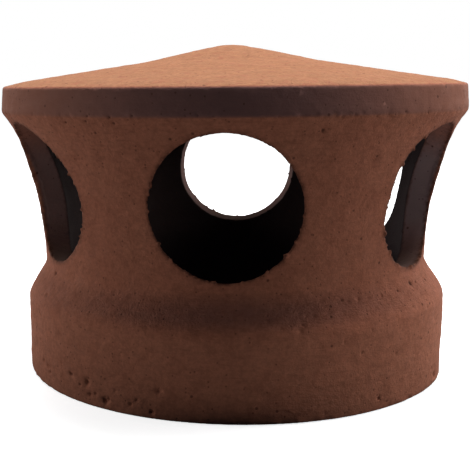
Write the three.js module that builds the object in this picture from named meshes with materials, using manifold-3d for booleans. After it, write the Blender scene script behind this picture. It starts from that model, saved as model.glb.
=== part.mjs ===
// Terracotta roof vent lantern: one hollow fired piece, open below, with a collar that sits over a
// vent socket, a waist pierced by round vent holes and a shallow cap that throws the rain clear.
// Millimetres and degrees. The collar stands on z = 0, the axis is Z and the first hole faces -Y.
import * as THREE from "three";
import { mergeVertices } from "three/addons/utils/BufferGeometryUtils.js";
import Module from "manifold-3d";

// Collar: the straight ring at the bottom
const COLLAR_RADIUS = 90;
const COLLAR_HEIGHT = 33.6;
const COLLAR_WALL = 11;
const FOOT_ROUNDING = 1.2;

// Shoulder: the slope from the collar in to the neck
const SHOULDER_RISE = 12.3;
const SHOULDER_ROUNDING = 2.5;
const NECK_RADIUS = 82;
const NECK_ROUNDING = 4;

// Waist: leans out in a curve, and kicks out once more just under the band
const WAIST_HEIGHT = 64.2;
const WAIST_WALL = 10;
const WAIST_FLARE = 15.1;
const FLARE_SHARPNESS = 2.4; // power by which the flare grows with height
const KICK_SHARPNESS = 12; // the same for the kick
const WAIST_STEPS = 8;

// Band: the upright edge of the cap
const BAND_RADIUS = 98;
const BAND_HEIGHT = 10.5;
const BAND_ROUNDING = 1.2;

// Cap: a short fall at the rim, a shallow skirt, and a steeper peak with a blunted tip
const RIM_FALL = 1.7;
const RIM_FALL_WIDTH = 7;
const SKIRT_RISE = 8.4;
const PEAK_RADIUS = 36;
const PEAK_RISE = 8.3; // up to where the tip would be if it were sharp
const TIP_BLUNTNESS = 1.7;
const PEAK_STEPS = 5;
const PEAK_CROWDING = 1.5; // above 1, the steps crowd towards the tip
const CAP_THICKNESS = 11;
const CEILING_ROUNDING = 8;

// Vent holes, cut level through the waist
const HOLE_COUNT = 6;
const HOLE_RADIUS = 27.8;
const HOLE_CENTRE_HEIGHT = 78.2;
const FIRST_HOLE_TURN = -1;
const HOLE_DRIFT = [-1.4, 0.5, 0.7, 1, -6, -1.6]; // degrees each stands off its even place: cut by eye

// Fineness of the faceted surface
const TURN_SEGMENTS = 60;
const HOLE_SEGMENTS = 40;
const ROUNDING_STEPS = 3;
const ROUNDING_REACH = 0.45; // the most of a side that one rounding takes, as a share
const CORNER_PASSES = 20; // steps that close in on the ceiling's corner
const MERGE_TOLERANCE = 1e-4;

// Places that follow from the sizes
const neckHeight = COLLAR_HEIGHT + SHOULDER_RISE;
const bandBottom = neckHeight + WAIST_HEIGHT;
const rimHeight = bandBottom + BAND_HEIGHT;
const skirtRadius = BAND_RADIUS - RIM_FALL_WIDTH;
const collarBore = COLLAR_RADIUS - COLLAR_WALL;
const neckBore = NECK_RADIUS - WAIST_WALL;

// How far the waist has leaned out at a height, without the kick under the band
function flareAt(height) {
  const share = (height - neckHeight) / WAIST_HEIGHT;
  return WAIST_FLARE * Math.max(share, 0) ** FLARE_SHARPNESS;
}

function waistRadius(height) {
  const share = (height - neckHeight) / WAIST_HEIGHT;
  const kick = BAND_RADIUS - NECK_RADIUS - WAIST_FLARE;
  return NECK_RADIUS + flareAt(height) + kick * share ** KICK_SHARPNESS;
}

// Height of the cap's top surface
function capHeight(radius) {
  if (radius > skirtRadius) {
    return rimHeight + (RIM_FALL * (BAND_RADIUS - radius)) / RIM_FALL_WIDTH;
  }
  const skirtTop = rimHeight + RIM_FALL + SKIRT_RISE;
  if (radius > PEAK_RADIUS) {
    return skirtTop - (SKIRT_RISE * (radius - PEAK_RADIUS)) / (skirtRadius - PEAK_RADIUS);
  }
  const rise = (PEAK_RISE * radius) / PEAK_RADIUS;
  return skirtTop + Math.hypot(PEAK_RISE, TIP_BLUNTNESS) - Math.hypot(rise, TIP_BLUNTNESS);
}

// The radius where the waist's inner wall meets the underside of the cap
function ceilingCorner() {
  let height = bandBottom;
  let radius = neckBore;
  for (let pass = 0; pass < CORNER_PASSES; pass++) {
    radius = neckBore + flareAt(height);
    height = capHeight(radius) - CAP_THICKNESS;
  }
  return { radius, height };
}

// Turns corners { radius, height, rounding } into outline points, each rounding an arc-like curve
function roundedOutline(corners) {
  const points = corners.map((c) => new THREE.Vector2(c.radius, c.height));
  const outline = [];
  corners.forEach((corner, i) => {
    if (!corner.rounding) {
      outline.push(points[i]);
      return;
    }
    const towards = (other) => {
      const step = other.clone().sub(points[i]);
      const reach = Math.min(corner.rounding, step.length() * ROUNDING_REACH);
      return points[i].clone().add(step.setLength(reach));
    };
    const before = towards(points[i - 1]);
    const after = towards(points[i + 1]);
    const curve = new THREE.QuadraticBezierCurve(before, points[i], after);
    outline.push(...curve.getPoints(ROUNDING_STEPS));
  });
  return outline;
}

// Corners of the hollow inside, from the middle of the ceiling down to the foot
function innerCorners() {
  const ceiling = ceilingCorner();
  const corners = [{ radius: 0, height: capHeight(0) - CAP_THICKNESS }];
  corners.push({ radius: PEAK_RADIUS, height: capHeight(PEAK_RADIUS) - CAP_THICKNESS });
  corners.push({ ...ceiling, rounding: CEILING_ROUNDING });
  for (let i = WAIST_STEPS - 2; i > 0; i -= 2) {
    const height = neckHeight + (WAIST_HEIGHT * i) / WAIST_STEPS;
    corners.push({ radius: neckBore + flareAt(height), height });
  }
  const boreTop = COLLAR_HEIGHT - (SHOULDER_ROUNDING + COLLAR_WALL - WAIST_WALL);
  corners.push({ radius: neckBore, height: neckHeight, rounding: NECK_ROUNDING });
  corners.push({ radius: collarBore, height: boreTop, rounding: SHOULDER_ROUNDING });
  corners.push({ radius: collarBore, height: 0, rounding: FOOT_ROUNDING });
  return corners;
}

// Corners of the outside, from the foot up to the tip of the cap
function outerCorners() {
  const corners = [
    { radius: COLLAR_RADIUS, height: 0, rounding: FOOT_ROUNDING },
    { radius: COLLAR_RADIUS, height: COLLAR_HEIGHT, rounding: SHOULDER_ROUNDING },
    { radius: NECK_RADIUS, height: neckHeight, rounding: NECK_ROUNDING },
  ];
  for (let i = 1; i < WAIST_STEPS; i++) {
    const height = neckHeight + (WAIST_HEIGHT * i) / WAIST_STEPS;
    corners.push({ radius: waistRadius(height), height });
  }
  corners.push({ radius: BAND_RADIUS, height: bandBottom, rounding: BAND_ROUNDING });
  corners.push({ radius: BAND_RADIUS, height: rimHeight, rounding: BAND_ROUNDING });
  corners.push({ radius: skirtRadius, height: capHeight(skirtRadius) });
  for (let i = PEAK_STEPS; i >= 0; i--) {
    const radius = PEAK_RADIUS * (i / PEAK_STEPS) ** PEAK_CROWDING;
    corners.push({ radius, height: capHeight(radius) });
  }
  return corners;
}

const wasm = await Module();
wasm.setup();

// A closed geometry as a solid that can be cut
function solidOf(geometry) {
  const bare = geometry.clone();
  bare.deleteAttribute("normal");
  bare.deleteAttribute("uv");
  const merged = mergeVertices(bare, MERGE_TOLERANCE);
  const mesh = new wasm.Mesh({
    numProp: 3,
    vertProperties: merged.attributes.position.array,
    triVerts: new Uint32Array(merged.index.array),
  });
  return new wasm.Manifold(mesh);
}

// A solid back as a geometry for drawing
function geometryOf(solid) {
  const mesh = solid.getMesh();
  const geometry = new THREE.BufferGeometry();
  geometry.setAttribute("position", new THREE.BufferAttribute(mesh.vertProperties, 3));
  geometry.setIndex(new THREE.BufferAttribute(mesh.triVerts, 1));
  const faceted = geometry.toNonIndexed();
  faceted.computeVertexNormals();
  return faceted;
}

function turnedBody() {
  const outline = roundedOutline([...innerCorners(), ...outerCorners()]);
  const body = new THREE.LatheGeometry(outline, TURN_SEGMENTS);
  return body.rotateX(Math.PI / 2);
}

// The level cutter of one hole, reaching from inside the wall to past the band
function holeCutter(index) {
  const from = Math.sqrt(neckBore ** 2 - HOLE_RADIUS ** 2) - WAIST_WALL;
  const to = BAND_RADIUS + COLLAR_WALL;
  const cutter = new THREE.CylinderGeometry(HOLE_RADIUS, HOLE_RADIUS, to - from, HOLE_SEGMENTS);
  cutter.translate(0, -(from + to) / 2, HOLE_CENTRE_HEIGHT);
  const drift = HOLE_DRIFT[index % HOLE_DRIFT.length];
  const turn = FIRST_HOLE_TURN + drift + (360 / HOLE_COUNT) * index;
  return cutter.rotateZ(THREE.MathUtils.degToRad(turn));
}

function ventLantern() {
  let solid = solidOf(turnedBody());
  for (let i = 0; i < HOLE_COUNT; i++) {
    solid = solid.subtract(solidOf(holeCutter(i)));
  }
  const terracotta = new THREE.MeshStandardMaterial({ color: 0x9a5b44, roughness: 0.92, metalness: 0 });
  const mesh = new THREE.Mesh(geometryOf(solid), terracotta);
  mesh.name = "vent_lantern";
  return mesh;
}

const lantern = new THREE.Group();
lantern.add(ventLantern());

export default lantern;
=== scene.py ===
"""Terracotta roof vent lantern: the fired surface, the studio and the camera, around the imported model."""
import math
from typing import NamedTuple

import bpy
import numpy as np
from mathutils import Matrix, Vector


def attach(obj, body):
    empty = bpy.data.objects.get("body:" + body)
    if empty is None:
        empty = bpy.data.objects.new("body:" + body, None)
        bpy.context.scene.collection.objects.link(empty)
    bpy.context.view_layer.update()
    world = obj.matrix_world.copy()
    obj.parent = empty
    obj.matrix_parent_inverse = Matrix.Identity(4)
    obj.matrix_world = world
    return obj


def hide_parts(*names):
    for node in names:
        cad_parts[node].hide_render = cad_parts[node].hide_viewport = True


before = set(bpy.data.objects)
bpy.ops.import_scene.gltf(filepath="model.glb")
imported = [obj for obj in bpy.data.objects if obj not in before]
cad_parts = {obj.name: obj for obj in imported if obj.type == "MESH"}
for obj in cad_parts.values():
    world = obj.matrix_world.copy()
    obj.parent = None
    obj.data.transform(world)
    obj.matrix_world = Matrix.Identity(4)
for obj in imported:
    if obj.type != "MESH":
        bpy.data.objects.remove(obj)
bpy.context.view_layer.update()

MM = 0.001

# Sizes of the turned body, in millimetres
COLLAR_RADIUS = 90.0
COLLAR_HEIGHT = 33.6
COLLAR_WALL = 11.0
COLLAR_TAPER = 0.1  # the fired collar draws in this much towards its foot
FOOT_ROUNDING = 0.7
SHOULDER_RISE = 12.3
SHOULDER_ROUNDING = 2.5
NECK_RADIUS = 82.0
NECK_ROUNDING = 4.0
WAIST_HEIGHT = 64.2
WAIST_WALL = 10.0
WAIST_FLARE = 15.1
FLARE_SHARPNESS = 2.4
KICK_SHARPNESS = 12
BAND_RADIUS = 98.0
BAND_TAPER = 0.3  # the fired band leans in this much, either way from its middle
BAND_HEIGHT = 10.2
BAND_ROUNDING = 1.0
RIM_FALL = 1.7
RIM_FALL_WIDTH = 7.0
SKIRT_RISE = 8.4
PEAK_RADIUS = 36.0
PEAK_RISE = 8.3
TIP_BLUNTNESS = 1.7
CAP_THICKNESS = 11.0
CEILING_ROUNDING = 8.0
CAP_ROUNDING = 3.0
ROUNDING_SHARE = 0.45  # the most of a side that one rounding takes

NECK_HEIGHT = COLLAR_HEIGHT + SHOULDER_RISE
BAND_BOTTOM = NECK_HEIGHT + WAIST_HEIGHT
RIM_HEIGHT = BAND_BOTTOM + BAND_HEIGHT
SKIRT_RADIUS = BAND_RADIUS - RIM_FALL_WIDTH
SKIRT_TOP = RIM_HEIGHT + RIM_FALL + SKIRT_RISE
NECK_BORE = NECK_RADIUS - WAIST_WALL
COLLAR_BORE = COLLAR_RADIUS - COLLAR_WALL
BORE_TOP = COLLAR_HEIGHT - SHOULDER_ROUNDING - (COLLAR_WALL - WAIST_WALL)

# Vent holes, in turn from the front towards +X and round
FRONT, RIGHT, BACK_RIGHT, BACK, BACK_LEFT, LEFT = range(6)


class Hole(NamedTuple):
    """A vent hole, with lengths in millimetres."""

    azimuth: float  # degrees from the front towards +X
    height: float  # of its centre
    radius: float  # at the outside of the wall
    stretch: float  # height over width
    spread: float  # by how much the radius grows to the inside of the wall
    paleness: float  # of its cut side, from 0 to 1: painted light that differs as each hole is lit, and the rest painted shade


HOLES = [
    Hole(-2.4, 77.5, 27.7, 0.976, 3.0, 0.39),
    Hole(60.9, 77.2, 26.6, 1.06, 1.5, 1.0),
    Hole(120.0, 77.8, 27.8, 1.0, -0.6, 0.65),
    Hole(179.6, 79.3, 27.3, 1.0, 1.2, 0.2),
    Hole(234.0, 78.2, 27.0, 1.0, -2.5, 0.0),
    Hole(297.2, 78.5, 27.8, 1.0, 1.5, 0.37),
]

# Where a hole isn't round: hole, place round its edge in degrees from its right side, reach in degrees
# and by how much the edge lies further out there
HOLE_BULGES = [(RIGHT, 176, 14, -0.8), (RIGHT, 207, 14, 1.0), (RIGHT, 234, 24, 2.1), (RIGHT, 138, 24, 1.9)]

# The cutter of a hole: its reach from the lantern's axis, and the unevenness that it leaves
CUTTER_FROM = 52.0
CUTTER_TO = 110.0
CUT_WAVE_DEPTH = 0.18
CUT_WAVE_WIDTH = 11
CUT_SCRATCH_DEPTH = 0.07
CUT_SCRATCH_WIDTHS = (3.5, 3.5, 12)
CUT_DRAG = 60  # draws the unevenness out along the cut: the reach that counts as one radius

# The fired pot isn't quite true: lean of the axis, and further tilt of the cap, as slopes
LEAN = -0.0163
LEAN_FADE = 34.2  # below this height the lean fades out, and the foot is flat
CAP_TILT = -0.0040
CAP_TILT_FROM = 45.0
CAP_TILT_RISE = 72.0  # the tilt is full this far above, and grows a little further
CAP_TILT_MOST = 1.2
SHIFT = 0.45  # the whole pot stands this far off centre
TIP_SHIFT = -1.6  # and the tip of its cap this far off the band's middle

# Places where the wall swells out: azimuth, height, how far round it reaches and by how much
SWELLINGS = [
    (-81, 84, 13, 1.3), (-81, 68, 12, 0.9), (-85, 52, 12, 0.45), (81, 84, 12, 0.8), (85, 48, 12, -0.3),
    (79, 26, 11, 0.3), (79, 4, 9, -0.5), (-79, 6, 9, 0.35),
]

# Crumbs of clay left by the cutter on an edge of a hole: place round it in degrees from its right side,
# and size
CRUMBS = {
    (FRONT, "outer"): [
        (163, 0.62), (170, 0.43), (183, 0.56), (196, 0.50), (209, 0.81), (224, 0.56),
        (238, 0.43), (256, 0.43), (282, 0.43), (302, 0.56), (320, 0.74), (333, 0.56),
    ],
    (RIGHT, "outer"): [
        (128, 0.68), (140, 0.56), (152, 0.50), (205, 0.74),
        (222, 0.87), (238, 0.62), (262, 0.74), (284, 0.56),
    ],
    (BACK, "inner"): [(236, 0.74), (244, 0.50)],
    (BACK, "outer"): [(297, 0.50), (270, 0.37)],
    (LEFT, "outer"): [(20, 0.68), (352, 0.56), (335, 0.50), (40, 0.43)],
}
RANDOM_CRUMBS_PER_EDGE = 6
RANDOM_CRUMB_SIZES = (0.3, 0.55)
CRUMB_KNOBBLES = 0.3
CRUMB_STRETCH = (0.7, 1.35)

# Pits in the outside: azimuth, height, radius, depth
PITS = [
    (-59.5, 10.5, 1.1, 0.9), (-56.5, 9.0, 1.0, 0.8), (-55.5, 7.0, 0.8, 0.6), (-49.0, 13.5, 0.8, 0.5),
    (-45.0, 10.5, 1.1, 0.8), (-41.5, 7.5, 0.8, 0.6), (-39.0, 9.0, 1.5, 1.0), (-38.4, 10.8, 0.8, 0.6),
    (-38.0, 4.5, 1.0, 0.7), (-33.0, 3.5, 1.5, 1.1), (-32.0, 4.4, 0.9, 0.7), (-30.0, 8.5, 0.7, 0.5),
    (-25.5, 4.5, 0.8, 0.6), (-24.0, 6.5, 0.8, 0.5), (-20.0, 2.8, 0.8, 0.6), (-18.5, 11.0, 1.3, 0.9),
    (-61.0, 29.0, 0.8, 0.5), (-62.0, 45.5, 0.9, 0.7), (-60.5, 38.0, 0.7, 0.5), (-36.0, 5.6, 0.7, 0.5),
    (19.0, 38.5, 0.8, 0.4), (23.0, 39.0, 0.8, 0.4), (27.5, 42.5, 0.9, 0.5), (29.0, 41.8, 0.7, 0.4),
    (32.5, 42.0, 1.0, 0.6), (36.0, 42.0, 0.8, 0.4), (40.5, 41.5, 0.8, 0.5), (47.5, 42.0, 0.9, 0.5),
    (55.0, 43.0, 1.2, 0.7), (58.0, 42.6, 0.8, 0.5), (65.0, 42.0, 0.7, 0.4), (57.5, 33.5, 0.8, 0.5),
    (50.5, 35.5, 0.7, 0.4), (34.0, 31.0, 0.7, 0.4), (15.0, 34.0, 1.2, 0.6), (15.6, 35.6, 0.8, 0.5),
    (10.5, 35.0, 0.7, 0.4), (7.5, 38.0, 0.8, 0.4), (36.5, 4.5, 0.8, 0.6), (64.5, 3.5, 1.4, 1.0),
    (62.0, 7.5, 0.7, 0.4), (18.5, 105.0, 1.1, 0.6), (19.6, 105.6, 0.8, 0.4), (2.0, 14.0, 0.8, 0.4),
    (26.0, 28.5, 0.7, 0.4), (31.0, 23.0, 0.8, 0.4), (42.5, 20.0, 0.8, 0.4), (-40.5, 94.0, 0.7, 0.4),
    (-32.5, 108.5, 0.8, 0.5), (-25.5, 108.0, 0.8, 0.5), (-31.5, 110.5, 0.8, 0.5),
    (-38.5, 108.0, 0.7, 0.5), (-26.0, 110.0, 0.7, 0.5), (-71.0, 109.3, 1.0, 0.6),
    (-66.5, 110.2, 0.9, 0.6), (-63.0, 109.6, 0.8, 0.5), (67.0, 120.4, 1.0, 0.5), (70.5, 120.6, 0.8, 0.4),
]
RANDOM_PITS = 90
RANDOM_PIT_RADII = (0.4, 0.8)
RANDOM_PIT_DEPTHS = (0.12, 0.32)
RANDOM_PIT_HEIGHTS = (3, 118)
FOOT_PIT_HEIGHTS = (1.5, 12)
FOOT_PIT_SHARE = 0.35  # of the random pits are near the foot
BAND_PITS = 70  # nicks along the band's lower edge
BAND_PIT_RADII = (0.4, 0.8)
BAND_PIT_DEPTHS = (0.2, 0.45)
BAND_PIT_SCATTER = 0.8  # above or below the edge
CAP_PITS = 30
CAP_PIT_RADII = (0.5, 0.9)
CAP_PIT_DEPTHS = (0.2, 0.45)
PIT_REACH = 2.2  # how far a pit is felt, in its radii
PIT_RAGGEDNESS = 0.4
PIT_RAG_WIDTH = 0.9
PIT_STEEPNESS = 1.4
FULL_PIT_DEPTH = 0.6  # a pit this deep gets the darkest painted shade

# Unevenness of the skin all over: how far it moves the skin, and how wide its features are
DENT_DEPTH = 0.16
DENT_WIDTH = 38
RIPPLE_DEPTH = 0.09
RIPPLE_WIDTH = 10
GRAIN_DEPTH_INSIDE = 0.02
GRAIN_DEPTH_OUTSIDE = 0.07  # on top of the inside's
GRAIN_WIDTH = 3.2
TOOTH_DEPTH = 0.06
TOOTH_WIDTH = 1.6
TURNING_DEPTH = 0.08
WALL_TURNING_WIDTHS = (45, 45, 2.3)
CAP_TURNING_WIDTHS = (55, 55, 2.8)

# Unevenness at the holes
DRAG_DEPTH = 0.07
DRAG_WIDTH = 2.6
CRUMBLE_DEPTH = 0.08
CRUMBLE_WIDTH = 1.3
TEAR_DEPTH = 0.9
TEAR_WIDTH = 1.7
TEAR_RARITY = 0.60  # clay is torn out only where the noise is above this

# Wear of the corners of the band and the foot
CORNER_SPREAD = 1.8  # in square millimetres
FOOT_REACH = 2.2
CHIP_WIDTH = 2.4
CHIP_RARITY = 0.35
BAND_LOW_CHIPS = 0.9
BAND_HIGH_CHIPS = 0.35
FOOT_CHIPS = 0.55
WEAR_DEPTH = 0.12
BAND_WEAR_WIDTH = 7
FOOT_WEAR_WIDTH = 2.1
FLOOR_FREE = 1.5  # below this height the skin moves less up and down, so that the foot stays flat

# Shifts at which a noise is read again, for features that don't follow one another
TOOTH_SHIFT = 50
CRUMBLE_SHIFT = 20
TEAR_SHIFT = 70
CHIP_SHIFT = 33
BAND_WEAR_SHIFT = 12
FOOT_WEAR_SHIFT = 9

# How deep the colours of the skin and of a hole's edge reach
OUTSIDE_REACH = 2.2
SIDE_REACH = 1.3
LIP_REACH = 0.9  # as a share of the side's
LIP_FLAT = 0.6  # the lip's dark is full this close to the outside, and fades further off
LIP_FADE = 1.3
EDGE_REACH = 1.5
HOLE_SIDE = 20  # points further out than this along a hole's axis may belong to it
HOLE_MARGIN = 4  # and those up to this far outside its edge
# how far the foot of a cut side gets painted shade
CUT_FOOT_SHADE = 0.75
CUT_TOP_BARENESS = 0.75  # how far the top of a cut side is bare clay, without painted light or shade
DARK_CUT = 0.8  # how far a cut side that isn't pale gets the inside's painted shade
BARE_FOOT_HEIGHT = 14  # below it the painted shade of the inside fades out to bare clay
GREY_INSIDE = 0.2
GREY_AZIMUTH = 90  # painted light makes the inside greyer round here
GREY_REACH = 22
HIGH_WAIST = BAND_BOTTOM - 10  # the dark streaks are strongest at this height
HIGH_WAIST_REACH = 14
FRONT_SHADE_REACH = 40.0  # shoulder and band get painted shade this many degrees to each side of the front

# Fineness of the mesh
VOXEL = 0.55
PIECE_TRIANGLES = 192_000

# Camera, from a perspective fit to the outline in the photograph, 470 by 470 pixels
FRAME_PIXELS = 470
FOCAL_PIXELS = 951.2
SENSOR_MM = 36.0
CAMERA_AT = (-0.83, -415.6, 122.2)
CAMERA_PITCH = 9.23
CAMERA_ROLL = 0.66


class Noise:
    """Smooth seeded noise in space, between -1 and 1, one table of random values for each seed."""

    SIZE = 32

    def __init__(self, seed):
        self.table = np.random.default_rng(seed).uniform(-1, 1, (self.SIZE,) * 3)

    def at(self, points, scale):
        """Noise at points, with features about scale across; scale may differ along X, Y and Z."""
        place = points / np.asarray(scale, float)
        cell = np.floor(place).astype(np.int64)
        share = place - cell
        share = share * share * (3 - 2 * share)
        total = np.zeros(len(points))
        for corner in np.ndindex(2, 2, 2):
            weight = np.ones(len(points))
            for axis in range(3):
                weight *= share[:, axis] if corner[axis] else 1 - share[:, axis]
            x, y, z = ((cell + corner) % self.SIZE).T
            total += weight * self.table[x, y, z]
        return total


def bell(away, reach):
    """1 in the middle, fading out over about the reach to either side."""
    return np.exp(-(away / reach) ** 2)


def fade_in(value, width, at_zero=0.0):
    """From 0 to 1 over a width, and at_zero where the value is 0."""
    return np.clip(value / width + at_zero, 0, 1)


# The turned body

def flare_at(height):
    """How far the waist has leaned out, without the kick under the band."""
    share = np.maximum((height - NECK_HEIGHT) / WAIST_HEIGHT, 0)
    return WAIST_FLARE * share ** FLARE_SHARPNESS


def waist_radius(height):
    """Radius of the outside of the waist, with the kick under the band."""
    share = np.clip((height - NECK_HEIGHT) / WAIST_HEIGHT, 0, 1)
    kick = BAND_RADIUS - NECK_RADIUS - WAIST_FLARE
    return NECK_RADIUS + flare_at(np.minimum(height, BAND_BOTTOM)) + kick * share ** KICK_SHARPNESS


def cap_height(radius):
    """Height of the cap's top: a short fall at the rim, a shallow skirt and a steeper, blunted peak."""
    radius = np.asarray(radius, float)
    fall = RIM_HEIGHT + RIM_FALL * (BAND_RADIUS - radius) / RIM_FALL_WIDTH
    skirt = SKIRT_TOP - SKIRT_RISE * (radius - PEAK_RADIUS) / (SKIRT_RADIUS - PEAK_RADIUS)
    rise = PEAK_RISE * radius / PEAK_RADIUS
    peak = SKIRT_TOP + math.hypot(PEAK_RISE, TIP_BLUNTNESS) - np.hypot(rise, TIP_BLUNTNESS)
    return np.where(radius > SKIRT_RADIUS, fall, np.where(radius > PEAK_RADIUS, skirt, peak))


def outer_radius(height):
    """Radius of the outside below the cap's rim."""
    height = np.asarray(height, float)
    collar = COLLAR_RADIUS - COLLAR_TAPER * (1 - height / COLLAR_HEIGHT)
    shoulder = COLLAR_RADIUS + (NECK_RADIUS - COLLAR_RADIUS) * (height - COLLAR_HEIGHT) / SHOULDER_RISE
    below_neck = np.where(height < COLLAR_HEIGHT, collar, shoulder)
    above_neck = np.where(height < BAND_BOTTOM, waist_radius(height), BAND_RADIUS)
    return np.where(height < NECK_HEIGHT, below_neck, above_neck)


def inner_radius(height):
    """Radius of the hollow inside below its ceiling."""
    height = np.asarray(height, float)
    slope = (height - BORE_TOP) / (NECK_HEIGHT - BORE_TOP)
    shoulder = COLLAR_BORE + (NECK_BORE - COLLAR_BORE) * np.clip(slope, 0, 1)
    return np.where(height < NECK_HEIGHT, shoulder, NECK_BORE + flare_at(height))


def ceiling_corner():
    """Where the waist's inner wall meets the underside of the cap."""
    radius, height = NECK_BORE, BAND_BOTTOM
    for _ in range(20):
        radius = NECK_BORE + flare_at(height)
        height = cap_height(radius) - CAP_THICKNESS
    return float(radius), float(height)


def body_corners():
    """Corners of the section (radius, height, rounding), from the ceiling's middle round to the tip."""
    radius, height = ceiling_corner()
    corners = [
        (0.0, float(cap_height(0)) - CAP_THICKNESS, 0),
        (PEAK_RADIUS, float(cap_height(PEAK_RADIUS)) - CAP_THICKNESS, CAP_ROUNDING),
        (radius, height, CEILING_ROUNDING),
    ]
    for share in (0.8, 0.6, 0.4, 0.2):
        level = NECK_HEIGHT + WAIST_HEIGHT * share
        corners.append((NECK_BORE + flare_at(level), level, 0))
    corners += [
        (NECK_BORE, NECK_HEIGHT, NECK_ROUNDING),
        (COLLAR_BORE, BORE_TOP, SHOULDER_ROUNDING),
        (COLLAR_BORE, 0.0, FOOT_ROUNDING),
        (COLLAR_RADIUS - COLLAR_TAPER, 0.0, FOOT_ROUNDING),
        (COLLAR_RADIUS, COLLAR_HEIGHT, SHOULDER_ROUNDING),
        (NECK_RADIUS, NECK_HEIGHT, NECK_ROUNDING),
    ]
    for share in np.linspace(0, 1, 17)[1:-1]:
        level = NECK_HEIGHT + WAIST_HEIGHT * share
        corners.append((waist_radius(level), level, 0))
    corners += [
        (BAND_RADIUS + BAND_TAPER, BAND_BOTTOM, BAND_ROUNDING),
        (BAND_RADIUS - BAND_TAPER, RIM_HEIGHT, BAND_ROUNDING),
        (SKIRT_RADIUS, RIM_HEIGHT + RIM_FALL, CAP_ROUNDING),
    ]
    for share in (1, 0.8, 0.6, 0.45, 0.32, 0.22, 0.14, 0.08, 0.04, 0.015):
        corners.append((PEAK_RADIUS * share, float(cap_height(PEAK_RADIUS * share)), 0))
    corners.append((0.0, float(cap_height(0)), 0))
    return corners


def rounded(corners, steps=6):
    """The corners as outline points, each rounding drawn as a curve from side to side."""
    places = np.array([c[:2] for c in corners], float)
    outline = []
    for i, (_, _, rounding) in enumerate(corners):
        if not rounding:
            outline.append(places[i])
            continue
        ends = []
        for other in (places[i - 1], places[i + 1]):
            side = other - places[i]
            length = np.linalg.norm(side)
            ends.append(places[i] + side / length * min(rounding, length * ROUNDING_SHARE))
        for t in np.linspace(0, 1, steps):
            outline.append((1 - t) ** 2 * ends[0] + 2 * t * (1 - t) * places[i] + t ** 2 * ends[1])
    return np.array(outline)


def evenly(outline, step):
    """Points along the outline no further than step apart, its own points kept."""
    points = [outline[:1]]
    for a, b in zip(outline[:-1], outline[1:]):
        count = max(1, math.ceil(np.linalg.norm(b - a) / step))
        points.append(a + (b - a) * np.linspace(0, 1, count + 1)[1:, None])
    return np.concatenate(points)


def mesh_object(name, points, faces):
    """A linked mesh object from points in millimetres."""
    mesh = bpy.data.meshes.new(name)
    mesh.from_pydata((np.asarray(points) * MM).tolist(), [], faces)
    mesh.update()
    made = bpy.data.objects.new(name, mesh)
    bpy.context.scene.collection.objects.link(made)
    return made


def turned_body(segments=260, step=1.6):
    """The whole hollow body without its holes, turned about the axis."""
    section = evenly(rounded(body_corners()), step)
    inner = section[1:-1]
    angles = np.linspace(0, 2 * math.pi, segments, endpoint=False)
    rings = [np.stack([r * np.cos(angles), r * np.sin(angles), np.full(segments, z)], 1) for r, z in inner]
    points = np.concatenate([[[0, 0, section[0][1]]], *rings, [[0, 0, section[-1][1]]]])
    faces = []
    last_ring, tip = 1 + (len(inner) - 1) * segments, len(points) - 1
    for k in range(segments):
        following = (k + 1) % segments
        faces.append((0, 1 + k, 1 + following))
        faces.append((tip, last_ring + following, last_ring + k))
        for ring in range(len(inner) - 1):
            a = 1 + ring * segments
            b = a + segments
            faces.append((a + k, b + k, b + following, a + following))
    return mesh_object("lantern_body", points, faces)


# Vent holes and the crumbs round them

def hole_radius_at(index, angles):
    """Radius of a hole's edge at angles in radians from its right side."""
    radius = np.full(len(angles), HOLES[index].radius)
    for hole, turn, reach, rise in HOLE_BULGES:
        if hole == index:
            away = np.degrees(angles) - turn
            away = (away + 180) % 360 - 180
            radius = radius + rise * bell(away, reach)
    return radius


def hole_frame(azimuth):
    """Directions of a hole: out along its axis, and across it to the right as seen from outside."""
    a = math.radians(azimuth)
    return np.array([math.sin(a), -math.cos(a), 0]), np.array([math.cos(a), math.sin(a), 0])


def hole_cutter(index, segments=120, rings=40):
    """A cutter with a slightly uneven side, as a tube pushed through leather-hard clay leaves."""
    hole = HOLES[index]
    out, across = hole_frame(hole.azimuth)
    up = np.array([0, 0, 1])
    unevenness = Noise(31 + int(hole.azimuth))
    angles = np.linspace(0, 2 * math.pi, segments, endpoint=False)
    radius = hole_radius_at(index, angles)
    heights = hole.height + hole.stretch * radius * np.sin(angles)
    outer_edge = np.sqrt(outer_radius(heights) ** 2 - (radius * np.cos(angles)) ** 2)
    ring_points = []
    for reach in np.linspace(CUTTER_FROM, CUTTER_TO, rings):
        sample = np.stack([np.cos(angles), np.sin(angles), np.full(segments, reach / CUT_DRAG)], 1)
        sample *= radius[:, None]
        uneven = CUT_WAVE_DEPTH * unevenness.at(sample, CUT_WAVE_WIDTH)
        uneven += CUT_SCRATCH_DEPTH * unevenness.at(sample, CUT_SCRATCH_WIDTHS)
        depth = np.clip((outer_edge - reach) / WAIST_WALL, 0, 1.5)
        ragged = radius + uneven + hole.spread * depth
        sideways = across * (ragged * np.cos(angles))[:, None]
        upward = up * (hole.height + hole.stretch * ragged * np.sin(angles))[:, None]
        ring_points.append(out * reach + sideways + upward)
    points = np.concatenate(ring_points)
    faces = [tuple(range(segments))[::-1], tuple(range(len(points) - segments, len(points)))]
    for ring in range(rings - 1):
        for k in range(segments):
            following = (k + 1) % segments
            a = ring * segments
            faces.append((a + k, a + following, a + segments + following, a + segments + k))
    return mesh_object("hole_cutter", points, faces)


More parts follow.
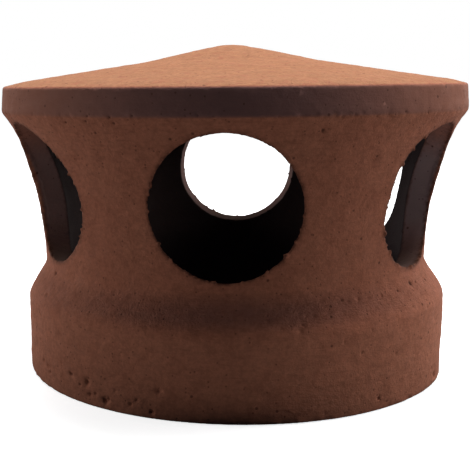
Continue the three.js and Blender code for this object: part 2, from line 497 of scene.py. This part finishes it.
def edge_place(index, turn, side):
    """The point on a hole's outer or inner edge, turn degrees round from its right side."""
    hole = HOLES[index]
    radius = float(hole_radius_at(index, np.array([math.radians(turn)]))[0])
    if side == "inner":
        radius += hole.spread
    out, across = hole_frame(hole.azimuth)
    sideways = radius * math.cos(math.radians(turn))
    height = hole.height + hole.stretch * radius * math.sin(math.radians(turn))
    wall = outer_radius(height) if side == "outer" else inner_radius(height)
    along = math.sqrt(max(float(wall) ** 2 - sideways ** 2, 0))
    return out * along + across * sideways + np.array([0, 0, height])


def crumb_places():
    """Every crumb as (place, size): those that show in the photograph, then seeded ones."""
    draws = np.random.default_rng(515)
    crumbs = []
    for (index, side), marks in CRUMBS.items():
        crumbs += [(edge_place(index, turn, side), size) for turn, size in marks]
    for index in range(len(HOLES)):
        for side in ("outer", "inner"):
            for _ in range(RANDOM_CRUMBS_PER_EDGE):
                place = edge_place(index, draws.uniform(0, 360), side)
                crumbs.append((place, draws.uniform(*RANDOM_CRUMB_SIZES)))
    return crumbs


def crumb(place, size, draws):
    """A torn bit of clay: a knobbly lump of a few faces."""
    bpy.ops.mesh.primitive_ico_sphere_add(subdivisions=2, radius=size * MM, location=(0, 0, 0))
    lump = bpy.context.object
    points = np.array([v.co for v in lump.data.vertices])
    points *= 1 + draws.uniform(-CRUMB_KNOBBLES, CRUMB_KNOBBLES, (len(points), 1))
    points *= draws.uniform(*CRUMB_STRETCH, 3)
    lump.data.vertices.foreach_set("co", (points + place * MM).ravel())
    return lump


# Steps of making the mesh

def apply_modifiers(target):
    """Gives the object the mesh that its modifiers make, and takes them off."""
    evaluated = target.evaluated_get(bpy.context.evaluated_depsgraph_get())
    mesh = bpy.data.meshes.new_from_object(evaluated)
    target.modifiers.clear()
    old = target.data
    target.data = mesh
    bpy.data.meshes.remove(old)


def cut(target, cutter):
    boolean = target.modifiers.new("cut", "BOOLEAN")
    boolean.operation = "DIFFERENCE"
    boolean.solver = "MANIFOLD"
    boolean.object = cutter
    apply_modifiers(target)
    bpy.data.objects.remove(cutter)


def join(target, others):
    bpy.ops.object.select_all(action="DESELECT")
    for each in (target, *others):
        each.select_set(True)
    bpy.context.view_layer.objects.active = target
    bpy.ops.object.join()


def remesh(target):
    modifier = target.modifiers.new("remesh", "REMESH")
    modifier.mode = "VOXEL"
    modifier.voxel_size = VOXEL * MM
    apply_modifiers(target)


def decimate(target, triangles):
    now = sum(len(p.vertices) - 2 for p in target.data.polygons)
    if now > triangles:
        modifier = target.modifiers.new("decimate", "DECIMATE")
        modifier.ratio = triangles / now
        modifier.use_collapse_triangulate = True
        apply_modifiers(target)


# The fired surface

def get_points(mesh):
    points = np.empty(len(mesh.vertices) * 3)
    mesh.vertices.foreach_get("co", points)
    return points.reshape(-1, 3) / MM


def get_normals(mesh):
    normals = np.empty(len(mesh.vertices) * 3)
    mesh.vertices.foreach_get("normal", normals)
    return normals.reshape(-1, 3)


def set_points(mesh, points):
    mesh.vertices.foreach_set("co", (points * MM).ravel())
    mesh.update()


def outside_share(points):
    """1 on the outside skin, 0 inside, from how far a point is from the outline of the outside."""
    radius = np.hypot(points[:, 0], points[:, 1])
    height = points[:, 2]
    from_outer = np.where(height > BAND_BOTTOM, np.abs(cap_height(radius) - height), np.inf)
    from_outer = np.minimum(from_outer, np.abs(outer_radius(height) - radius))
    return np.clip(OUTSIDE_REACH - from_outer, 0, 1)


def hole_nearness(points):
    """Nearness to a hole's outer lip, either edge and cut side, how pale that side is painted, and how far
    its top is left bare of painted light and shade.
    """
    radius = np.hypot(points[:, 0], points[:, 1])
    height = points[:, 2]
    from_outside = outer_radius(height) - radius
    from_skin = np.minimum(np.abs(from_outside), np.abs(inner_radius(height) - radius))
    lip, side, pale, bare_top = np.zeros((4, len(points)))
    for index, hole in enumerate(HOLES):
        out, across = hole_frame(hole.azimuth)
        in_front = points @ out > HOLE_SIDE
        sideways, upward = points @ across, (height - hole.height) / hole.stretch
        from_axis = np.hypot(sideways, upward)
        side_here = hole_radius_at(index, np.arctan2(upward, sideways))
        side_here = side_here + hole.spread * np.clip(from_outside / WAIST_WALL, 0, 1)
        away = (from_axis - side_here) / SIDE_REACH
        below_cap = in_front * (height < BAND_BOTTOM + HOLE_MARGIN)
        side = np.maximum(side, bell(away, 1) * below_cap)
        lip = np.maximum(lip, bell(away, LIP_REACH) * below_cap)
        here = in_front & (from_axis < side_here + HOLE_MARGIN)
        low = fade_in(-upward / side_here - 0.45, 0.4)
        high = fade_in(upward / side_here - 0.4, 0.4)
        # the share of a cut side that isn't pale gets painted shade, most of all at its foot
        pale = np.where(here, hole.paleness * (1 - CUT_FOOT_SHADE * low), pale)
        bare_top = np.where(here, CUT_TOP_BARENESS * high, bare_top)
    lip = lip * bell(np.maximum(np.abs(from_outside) - LIP_FLAT, 0), LIP_FADE)
    edge = side * bell(from_skin, EDGE_REACH)
    return lip, edge, side, pale, bare_top


def pit_list():
    """Every pit as (place, radius, depth): those that show in the photograph, then seeded ones."""
    draws = np.random.default_rng(88)
    pits = list(PITS)
    for _ in range(BAND_PITS):
        level = BAND_BOTTOM + draws.uniform(-BAND_PIT_SCATTER, BAND_PIT_SCATTER)
        azimuth = draws.uniform(0, 360)
        pits.append((azimuth, level, draws.uniform(*BAND_PIT_RADII), draws.uniform(*BAND_PIT_DEPTHS)))
    for _ in range(RANDOM_PITS):
        levels = [draws.uniform(*FOOT_PIT_HEIGHTS), draws.uniform(*RANDOM_PIT_HEIGHTS)]
        height = draws.choice(levels, p=[FOOT_PIT_SHARE, 1 - FOOT_PIT_SHARE])
        azimuth = draws.uniform(0, 360)
        pits.append((azimuth, height, draws.uniform(*RANDOM_PIT_RADII), draws.uniform(*RANDOM_PIT_DEPTHS)))
    made = []
    for azimuth, height, radius, depth in pits:
        out, _ = hole_frame(azimuth)
        made.append((out * float(outer_radius(height)) + np.array([0, 0, height]), radius, depth))
    for _ in range(CAP_PITS):
        out, _ = hole_frame(draws.uniform(0, 360))
        reach = BAND_RADIUS * math.sqrt(draws.uniform(0, 0.97))
        place = out * reach + np.array([0, 0, float(cap_height(reach))])
        made.append((place, draws.uniform(*CAP_PIT_RADII), draws.uniform(*CAP_PIT_DEPTHS)))
    return made


def pit_field(points):
    """Depth of the pits at each point in millimetres, and how much of a pit it is, from 0 to 1."""
    depth = np.zeros(len(points))
    share = np.zeros(len(points))
    jagged = Noise(61)
    order = np.argsort(points[:, 2])
    heights = points[order, 2]
    for place, radius, deep in pit_list():
        reach = PIT_REACH * radius
        low, high = np.searchsorted(heights, [place[2] - reach, place[2] + reach])
        found = order[low:high]
        away = np.linalg.norm(points[found] - place, axis=1) / radius
        away *= 1 + PIT_RAGGEDNESS * jagged.at(points[found], PIT_RAG_WIDTH)
        bowl = np.exp(-away ** 2 * PIT_STEEPNESS)
        depth[found] = np.maximum(depth[found], deep * bowl)
        share[found] = np.maximum(share[found], bowl * min(1, deep / FULL_PIT_DEPTH))
    return depth, share


def swollen(points, outside):
    """How far the swellings push the outside out."""
    move = np.zeros(len(points))
    for azimuth, level, reach, rise in SWELLINGS:
        out, _ = hole_frame(azimuth)
        centre = out * float(outer_radius(level)) + np.array([0, 0, level])
        move += outside * rise * bell(np.linalg.norm(points - centre, axis=1), reach)
    return move


def turning_marks(points, outside, noise):
    """Marks of the turning, from -1 to 1: round the walls, and in rings on the cap."""
    radius = np.hypot(points[:, 0], points[:, 1])
    height = points[:, 2]
    rings = np.stack([points[:, 0], points[:, 1], radius], 1)
    on_cap = np.clip(height - RIM_HEIGHT + 0.5, 0, 1) * outside
    on_walls = (1 - on_cap) * noise.at(points, WALL_TURNING_WIDTHS)
    return on_walls + on_cap * noise.at(rings, CAP_TURNING_WIDTHS)


def worn(points, outside, fine, torn):
    """How far the worn and chipped corners of the band and the foot move, mostly inward."""
    radius = np.hypot(points[:, 0], points[:, 1])
    height = points[:, 2]
    from_band = (radius - BAND_RADIUS) ** 2
    band_low = np.exp(-((height - BAND_BOTTOM) ** 2 + from_band) / CORNER_SPREAD)
    band_high = np.exp(-((height - RIM_HEIGHT) ** 2 + from_band) / CORNER_SPREAD)
    foot = bell(height, FOOT_REACH) * (radius > COLLAR_BORE - 3)
    chip = np.clip(torn.at(points + CHIP_SHIFT, CHIP_WIDTH) - CHIP_RARITY, 0, 1)
    band_wear = np.clip(fine.at(points + BAND_WEAR_SHIFT, BAND_WEAR_WIDTH), 0, 1)
    foot_wear = torn.at(points + FOOT_WEAR_SHIFT, FOOT_WEAR_WIDTH)
    move = -(BAND_LOW_CHIPS * band_low + BAND_HIGH_CHIPS * band_high) * chip * outside
    move -= WEAR_DEPTH * (band_low + 0.5 * band_high) * band_wear
    move += foot * outside * (WEAR_DEPTH * foot_wear - FOOT_CHIPS * chip)
    return move


def weather(piece):
    """Moves the smooth mesh into a hand-finished fired surface: dents, turning marks, grain, wear."""
    mesh = piece.data
    points, normals = get_points(mesh), get_normals(mesh)
    outside = outside_share(points)
    _, edge, side, _, _ = hole_nearness(points)
    broad, middle, fine, streak, torn = (Noise(seed) for seed in (1, 2, 3, 4, 5))

    move = DENT_DEPTH * broad.at(points, DENT_WIDTH) + RIPPLE_DEPTH * middle.at(points, RIPPLE_WIDTH)
    grain_depth = GRAIN_DEPTH_INSIDE + GRAIN_DEPTH_OUTSIDE * outside
    move += grain_depth * fine.at(points, GRAIN_WIDTH)
    move += TOOTH_DEPTH * outside * fine.at(points + TOOTH_SHIFT, TOOTH_WIDTH)
    move += swollen(points, outside)
    move += TURNING_DEPTH * turning_marks(points, outside, streak) * (1 - side)

    # the cutter's drag along a hole's side, and clay torn at its edges
    crumbling = torn.at(points + CRUMBLE_SHIFT, CRUMBLE_WIDTH)
    torn_out = np.clip(torn.at(points + TEAR_SHIFT, TEAR_WIDTH) - TEAR_RARITY, 0, 1)
    move += DRAG_DEPTH * side * torn.at(points, DRAG_WIDTH) + CRUMBLE_DEPTH * edge * crumbling
    move -= TEAR_DEPTH * edge * torn_out

    move += worn(points, outside, fine, torn)
    depth, _ = pit_field(points)
    move -= depth

    shift = normals * move[:, None]
    shift[:, 2] *= np.clip(points[:, 2] / FLOOR_FREE, 0, 1)
    points = points + shift
    points[:, 2] = np.maximum(points[:, 2], 0.0)
    set_points(mesh, points)


def lean(piece):
    """The lean of the axis and the tilt of the cap, which the fired pot has."""
    mesh = piece.data
    points = get_points(mesh)
    above_foot = np.clip(points[:, 2] / LEAN_FADE, 0, 1)
    above_waist = np.clip((points[:, 2] - CAP_TILT_FROM) / CAP_TILT_RISE, 0, CAP_TILT_MOST)
    tilt = LEAN * above_foot + CAP_TILT * above_waist
    leaned = points.copy()
    on_cap = np.clip((points[:, 2] - RIM_HEIGHT) / RIM_FALL, 0, 1)
    inward = np.clip(1 - np.hypot(points[:, 0], points[:, 1]) / BAND_RADIUS, 0, 1)
    leaned[:, 0] += points[:, 2] * LEAN + SHIFT + TIP_SHIFT * on_cap * inward
    leaned[:, 2] -= points[:, 0] * tilt
    set_points(mesh, leaned)


def mark(piece):
    """Stores on each vertex what the material needs, each from 0 to 1: pits, the dark rims of the holes,
    and regions, some of them where light and shade are painted.
    """
    mesh = piece.data
    points = get_points(mesh)
    radius = np.hypot(points[:, 0], points[:, 1])
    height = points[:, 2]
    azimuth = np.degrees(np.arctan2(points[:, 0], -points[:, 1]))
    lip, _, _, pale, bare_top = hole_nearness(points)
    _, pits = pit_field(points)
    outside = outside_share(points)
    in_wall = np.minimum(radius - inner_radius(height), outer_radius(height) - radius)
    cut = fade_in(in_wall, 0.7, -0.5) * (height > NECK_HEIGHT) * (height < BAND_BOTTOM)
    band = fade_in(height - BAND_BOTTOM, 0.8, 0.5) * fade_in(RIM_HEIGHT - height, 0.6, 0.3)
    collar = fade_in(COLLAR_HEIGHT - height, 4)
    shoulder = fade_in(height - COLLAR_HEIGHT, 4) * fade_in(NECK_HEIGHT + 1 - height, 6)
    within = (1 - outside) * (1 - cut) * fade_in(height, BARE_FOOT_HEIGHT)
    # painted light on the inner wall, in the cut sides' greyer colour
    lit_within = GREY_INSIDE * bell(azimuth - GREY_AZIMUTH, GREY_REACH) * within
    values = {
        "pit": pits,
        # the dark rim round each hole's outer edge
        "torn": lip,
        # the cut sides' greyer colour, partly their own and partly painted light
        "cut": np.maximum(cut * pale * (1 - bare_top), lit_within),
        # painted shade on the inside and on cut sides that aren't pale
        "inside": within + DARK_CUT * cut * (1 - pale) * (1 - bare_top),
        "band": band * outside,
        "collar": collar * outside,
        "shoulder": shoulder * outside,
        # where the shoulder and band get their painted shade
        "front": bell(azimuth, FRONT_SHADE_REACH),
        "high": bell(height - HIGH_WAIST, HIGH_WAIST_REACH) * outside,
    }
    for name, share in values.items():
        attribute = mesh.attributes.new(name, "FLOAT", "POINT")
        attribute.data.foreach_set("value", share.astype(np.float32))


# Materials

class Nodes:
    """Short calls for building a node tree."""

    def __init__(self, tree):
        self.tree = tree

    def add(self, kind, inputs=(), **settings):
        node = self.tree.nodes.new(kind)
        for name, value in settings.items():
            setattr(node, name, value)
        for name, value in dict(inputs).items():
            if isinstance(value, bpy.types.NodeSocket):
                self.tree.links.new(value, node.inputs[name])
            else:
                node.inputs[name].default_value = value
        return node

    def noise(self, place, scale, detail=3.0, roughness=0.55):
        node = self.add("ShaderNodeTexNoise", {"Vector": place, "Scale": scale, "Detail": detail,
                                               "Roughness": roughness})
        return node.outputs["Fac"]

    def math(self, operation, a, b=0.0, clamp=False):
        node = self.add("ShaderNodeMath", {0: a, 1: b}, operation=operation, use_clamp=clamp)
        return node.outputs[0]

    def spread(self, value, low, high, to_low=0.0, to_high=1.0):
        """The value from low to high, drawn out smoothly over to_low to to_high."""
        node = self.add("ShaderNodeMapRange", {"Value": value, "From Min": low, "From Max": high,
                                               "To Min": to_low, "To Max": to_high},
                        interpolation_type="SMOOTHSTEP")
        return node.outputs["Result"]

    def mix(self, share, a, b, blend="MIX"):
        node = self.add("ShaderNodeMix", data_type="RGBA", blend_type=blend)
        for socket, value in ((node.inputs[0], share), (node.inputs[6], a), (node.inputs[7], b)):
            if isinstance(value, bpy.types.NodeSocket):
                self.tree.links.new(value, socket)
            else:
                socket.default_value = value
        return node.outputs[2]

    def tint(self, colour, share, strength, tint):
        """The colour with the tint mixed in, by the share times the strength."""
        return self.mix(self.math("MULTIPLY", share, strength), colour, tint)

    def total(self, *terms):
        """The sum of the values, each times its weight."""
        total = 0.0
        for value, weight in terms:
            total = self.math("ADD", self.math("MULTIPLY", value, weight), total)
        return total

    def dots(self, place, scale, rarity, rim, core):
        """Small dots in few of a pattern's cells: 1 within core of a cell's middle, 0 beyond the rim."""
        cells = self.add("ShaderNodeTexVoronoi", {"Vector": place, "Scale": scale, "Randomness": 1.0})
        chance = self.add("ShaderNodeSeparateColor", {"Color": cells.outputs["Color"]}).outputs["Red"]
        chosen = self.math("GREATER_THAN", chance, rarity)
        return self.math("MULTIPLY", self.spread(cells.outputs["Distance"], rim, core), chosen)


CLAY = (0.54, 0.190, 0.108, 1.0)
CLAY_DARK = (0.40, 0.137, 0.080, 1.0)
CLAY_PALE = (0.62, 0.238, 0.137, 1.0)
# painted light on the tops, which the overhead light washes out
CLAY_LIT_TOP = (0.50, 0.232, 0.116, 1.0)
# painted shade on the band's front
BAND_FRONT_SHADE = (0.20, 0.108, 0.106, 1.0)
BAND_BROWN = (0.37, 0.145, 0.090, 1.0)
# the cut sides' greyer colour, partly their own and partly painted light
CUT_GREY = (0.56, 0.425, 0.425, 1.0)
# painted shade on the shoulder at the front
SHOULDER_SHADE = (0.27, 0.110, 0.082, 1.0)
PIT_BROWN = (0.10, 0.035, 0.022, 1.0)
# painted shade of the unlit hollow
INSIDE_SHADE = (0.034, 0.026, 0.027, 1.0)
MARKED = ("pit", "torn", "cut", "inside", "band", "collar", "shoulder", "front", "high")


def clay_colour(n, share, noises):
    """The fired clay: paler and darker areas, painted shade on the shoulder at the front, turning streaks
    and grain.
    """
    colour = n.tint(CLAY, n.spread(noises["broad"], 0.40, 0.70), 0.35, CLAY_PALE)
    # painted light: the collar is painted paler, for the light that the table throws up on it
    colour = n.tint(colour, share["collar"], 0.35, CLAY_PALE)
    # painted shade on the shoulder at the front
    front_shade = n.math("MULTIPLY", share["shoulder"], share["front"])
    colour = n.tint(colour, front_shade, 0.76, SHOULDER_SHADE)
    colour = n.tint(colour, n.spread(noises["middle"], 0.48, 0.75), 0.35, CLAY_DARK)
    drag = n.math("ADD", n.math("MULTIPLY", share["high"], 0.4), 0.35)
    colour = n.tint(colour, n.spread(noises["streaks"], 0.50, 0.72), drag, CLAY_DARK)
    return n.tint(colour, n.spread(noises["grain"], 0.50, 0.78), 0.3, CLAY_DARK)


def lit_tops_and_mottle(n, place, colour):
    """Painted light on what faces up, dark blotches there, and a fine mottle all over."""
    facing = n.add("ShaderNodeSeparateXYZ", {"Vector": n.add("ShaderNodeNewGeometry").outputs["Normal"]})
    upward = n.spread(facing.outputs["Z"], 0.80, 0.97)
    # painted light on what faces up, as the overhead light makes it look
    top_light = n.math("MULTIPLY", upward, n.spread(n.noise(place, 75.0, 5.0, 0.65), 0.15, 0.45))
    colour = n.tint(colour, top_light, 0.85, CLAY_LIT_TOP)
    mottle = n.spread(n.noise(place, 620.0, 3.0, 0.7), 0.30, 0.70, 0.78, 0.98)
    colour = n.mix(1.0, colour, mottle, "MULTIPLY")
    clouds = n.spread(n.noise(place, 190.0, 3.0, 0.6), 0.30, 0.70, 0.93, 1.05)
    colour = n.mix(1.0, colour, clouds, "MULTIPLY")
    blotch = n.math("MULTIPLY", upward, n.spread(n.noise(place, 240.0, 4.0, 0.7), 0.50, 0.66))
    return n.tint(colour, blotch, 0.55, CLAY_DARK)


def regions_coloured(n, share, colour):
    """The darker band with painted shade at its front, the painted shade of the inside, and the cut sides
    of the holes, greyer by their own colour and by painted light.
    """
    # the band is darker all round, with painted shade at its front
    band = n.mix(share["front"], BAND_BROWN, BAND_FRONT_SHADE)
    colour = n.tint(colour, share["band"], 0.85, band)
    # painted shade of the inside
    colour = n.tint(colour, share["inside"], 0.95, INSIDE_SHADE)
    # cut sides greyer, partly by their own colour and partly by painted light
    return n.tint(colour, share["cut"], 0.85, CUT_GREY)


def dark_rim(n, place, share, grain):
    """How dark the rim round a hole's outer edge is."""
    ragged = n.spread(n.noise(place, 420.0, 3.0), 0.40, 0.58, 0.45, 1.2)
    lip = n.math("MULTIPLY", share["torn"], n.math("ADD", grain, 0.25), clamp=True)
    return n.math("MULTIPLY", lip, ragged, clamp=True)


def terracotta():
    material = bpy.data.materials.new("terracotta")
    material.use_nodes = True
    material.node_tree.nodes.clear()
    n = Nodes(material.node_tree)
    place = n.add("ShaderNodeTexCoord").outputs["Object"]
    share = {name: n.add("ShaderNodeAttribute", attribute_name=name).outputs["Fac"] for name in MARKED}
    drawn_out = {0: place, 1: (1.0, 1.0, 6.5)}
    flattened = n.add("ShaderNodeVectorMath", drawn_out, operation="MULTIPLY").outputs[0]
    noises = {
        "broad": n.noise(place, 34.0, 3.0),
        "middle": n.noise(place, 170.0, 4.0, 0.6),
        "grain": n.noise(place, 1100.0, 3.0, 0.65),
        "streaks": n.noise(flattened, 150.0, 4.0, 0.65),
    }
    specks = n.dots(place, 260.0, 0.88, 0.20, 0.08)  # of iron
    pinholes = n.dots(place, 620.0, 0.86, 0.30, 0.12)  # where grit burnt out

    colour = clay_colour(n, share, noises)
    colour = lit_tops_and_mottle(n, place, colour)
    colour = regions_coloured(n, share, colour)
    colour = n.tint(colour, specks, 0.7, PIT_BROWN)
    colour = n.tint(colour, dark_rim(n, place, share, noises["grain"]), 0.9, PIT_BROWN)
    # painted shade in the pits, darker the deeper they are
    colour = n.tint(colour, n.spread(share["pit"], 0.25, 0.8), 0.85, PIT_BROWN)
    colour = n.tint(colour, pinholes, 0.6, PIT_BROWN)

    height = n.total(
        (noises["grain"], 0.9), (n.noise(place, 1700.0, 2.0, 0.6), 0.5), (n.noise(place, 520.0, 3.0), 1.0),
        (noises["streaks"], 1.2), (specks, -0.6), (pinholes, -0.6),
    )
    rougher = n.total((share["shoulder"], 0.3), (share["band"], -0.2), (share["collar"], -0.12))
    strength = n.math("ADD", rougher, 0.36)
    bump = n.add("ShaderNodeBump", {"Strength": strength, "Distance": 0.0006, "Height": height})
    shader = n.add("ShaderNodeBsdfPrincipled", {
        "Base Color": colour, "Roughness": n.spread(noises["middle"], 0.3, 0.7, 0.82, 0.95),
        "Normal": bump.outputs["Normal"], "Specular IOR Level": 0.25, "IOR": 1.45,
    })
    n.add("ShaderNodeOutputMaterial", {"Surface": shader.outputs["BSDF"]})
    return material


def pale_floor():
    """Glows by itself, and a little less near the lantern."""
    material = bpy.data.materials.new("pale_floor")
    material.use_nodes = True
    shader = material.node_tree.nodes["Principled BSDF"]
    n = Nodes(material.node_tree)
    place = n.add("ShaderNodeTexCoord").outputs["Object"]
    away = n.add("ShaderNodeVectorMath", {0: place}, operation="LENGTH").outputs["Value"]
    glow = n.spread(away, FLOOR_NEAR, FLOOR_FAR, FLOOR_GLOW, 1.0)
    material.node_tree.links.new(glow, shader.inputs["Emission Strength"])
    shader.inputs["Base Color"].default_value = (0.85, 0.85, 0.85, 1)
    shader.inputs["Roughness"].default_value = 0.9
    shader.inputs["Specular IOR Level"].default_value = 0.1
    shader.inputs["Emission Color"].default_value = (1, 1, 1, 1)
    return material


# The pieces

def lantern():
    """The fired lantern: turned, cut, roughened, marked for its colours and leaned."""
    body = turned_body()
    for index in range(len(HOLES)):
        cut(body, hole_cutter(index))
    draws = np.random.default_rng(99)
    join(body, [crumb(place, size, draws) for place, size in crumb_places()])
    remesh(body)
    weather(body)
    decimate(body, PIECE_TRIANGLES)
    mark(body)
    lean(body)
    for polygon in body.data.polygons:
        polygon.use_smooth = True
    body.name = "fired_lantern"
    body.data.name = "fired_lantern"
    body.data.materials.clear()
    body.data.materials.append(terracotta())
    return body


# Studio

FLOOR_GLOW = 0.80  # near the lantern, and 1 further off
FLOOR_NEAR = 0.10
FLOOR_FAR = 0.35
FLOOR_DROP = 0.1 * MM  # below the foot, so that the two faces don't flicker from below
AMBIENT = (0.004, 0.007, 0.012, 1.0)

# Soft lights: name, place, size and radiance
SOFT_LIGHTS = [
    ("overhead", (0.06, 0.13, 1.1), (0.9, 0.24), 20.5),
    ("left", (-1.1, 0.05, 0.35), (0.6, 0.7), 2.65),
    ("right", (1.1, 0.05, 0.35), (0.6, 0.7), 3.6),
    ("behind_left", (-0.8, 0.8, 0.35), (0.7, 0.7), 1.7),
    ("behind_right", (0.8, 0.8, 0.35), (0.7, 0.7), 2.6),
]
LIT_POINT = (0, 0, 0.08)

# The pale table's own light back up on the lantern, as cards that lie round its foot
BOUNCE_RADIANCE = 0.26
BOUNCE_HEIGHT = MM
BOUNCE_NEAR = 0.101
BOUNCE_FAR = 0.5


def studio_floor():
    """A plain pale table. It throws no light on the lantern: the cards round the foot do that."""
    bpy.ops.mesh.primitive_plane_add(size=8, location=(0, 0, -FLOOR_DROP))
    floor = bpy.context.object
    floor.name = "floor"
    floor.data.materials.append(pale_floor())
    floor.visible_diffuse = False
    floor.visible_glossy = False


def soft_light(name, place, size, radiance):
    """A rectangular soft light that faces the lantern, given by the radiance of its face."""
    data = bpy.data.lights.new(name, "AREA")
    data.shape = "RECTANGLE"
    data.size, data.size_y = size
    data.energy = radiance * math.pi * size[0] * size[1]
    light = bpy.data.objects.new(name, data)
    bpy.context.scene.collection.objects.link(light)
    light.location = place
    direction = Vector(LIT_POINT) - Vector(place)
    light.rotation_euler = direction.to_track_quat("-Z", "Y").to_euler()
    light.visible_camera = False
    return light


def lights():
    """The soft lights, and four cards round the foot for what the table throws back."""
    for name, place, size, radiance in SOFT_LIGHTS:
        soft_light(name, place, size, radiance)
    middle = (BOUNCE_NEAR + BOUNCE_FAR) / 2
    depth = BOUNCE_FAR - BOUNCE_NEAR
    for name, place, size in (
        ("bounce_front", (0, -middle, BOUNCE_HEIGHT), (2 * BOUNCE_FAR, depth)),
        ("bounce_back", (0, middle, BOUNCE_HEIGHT), (2 * BOUNCE_FAR, depth)),
        ("bounce_left", (-middle, 0, BOUNCE_HEIGHT), (depth, 2 * BOUNCE_NEAR)),
        ("bounce_right", (middle, 0, BOUNCE_HEIGHT), (depth, 2 * BOUNCE_NEAR)),
    ):
        card = soft_light(name, place, size, BOUNCE_RADIANCE)
        card.rotation_euler = (math.pi, 0, 0)


def sky():
    """White to the camera, and almost no light."""
    world = bpy.data.worlds.new("studio")
    bpy.context.scene.world = world
    world.use_nodes = True
    world.node_tree.nodes.clear()
    n = Nodes(world.node_tree)
    light = n.add("ShaderNodeBackground", {"Color": AMBIENT, "Strength": 1.0})
    seen = n.add("ShaderNodeBackground", {"Color": (1, 1, 1, 1), "Strength": 1.0})
    is_camera = n.add("ShaderNodeLightPath").outputs["Is Camera Ray"]
    mixed = n.add("ShaderNodeMixShader", {0: is_camera, 1: light.outputs[0], 2: seen.outputs[0]})
    n.add("ShaderNodeOutputWorld", {"Surface": mixed.outputs[0]})


def camera():
    """The camera at the photograph's place and angle."""
    data = bpy.data.cameras.new("camera")
    data.sensor_width = SENSOR_MM
    data.lens = FOCAL_PIXELS / FRAME_PIXELS * SENSOR_MM
    data.clip_start, data.clip_end = 0.01, 50
    made = bpy.data.objects.new("camera", data)
    bpy.context.scene.collection.objects.link(made)
    turn = Matrix.Rotation(math.radians(90 - CAMERA_PITCH), 4, "X")
    turn = turn @ Matrix.Rotation(math.radians(CAMERA_ROLL), 4, "Z")
    made.matrix_world = Matrix.Translation(Vector(CAMERA_AT) * MM) @ turn
    bpy.context.scene.camera = made


camera()
piece = lantern()
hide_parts("vent_lantern")
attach(piece, "root")
studio_floor()
lights()
sky()
bpy.context.scene.view_settings.view_transform = "Standard"
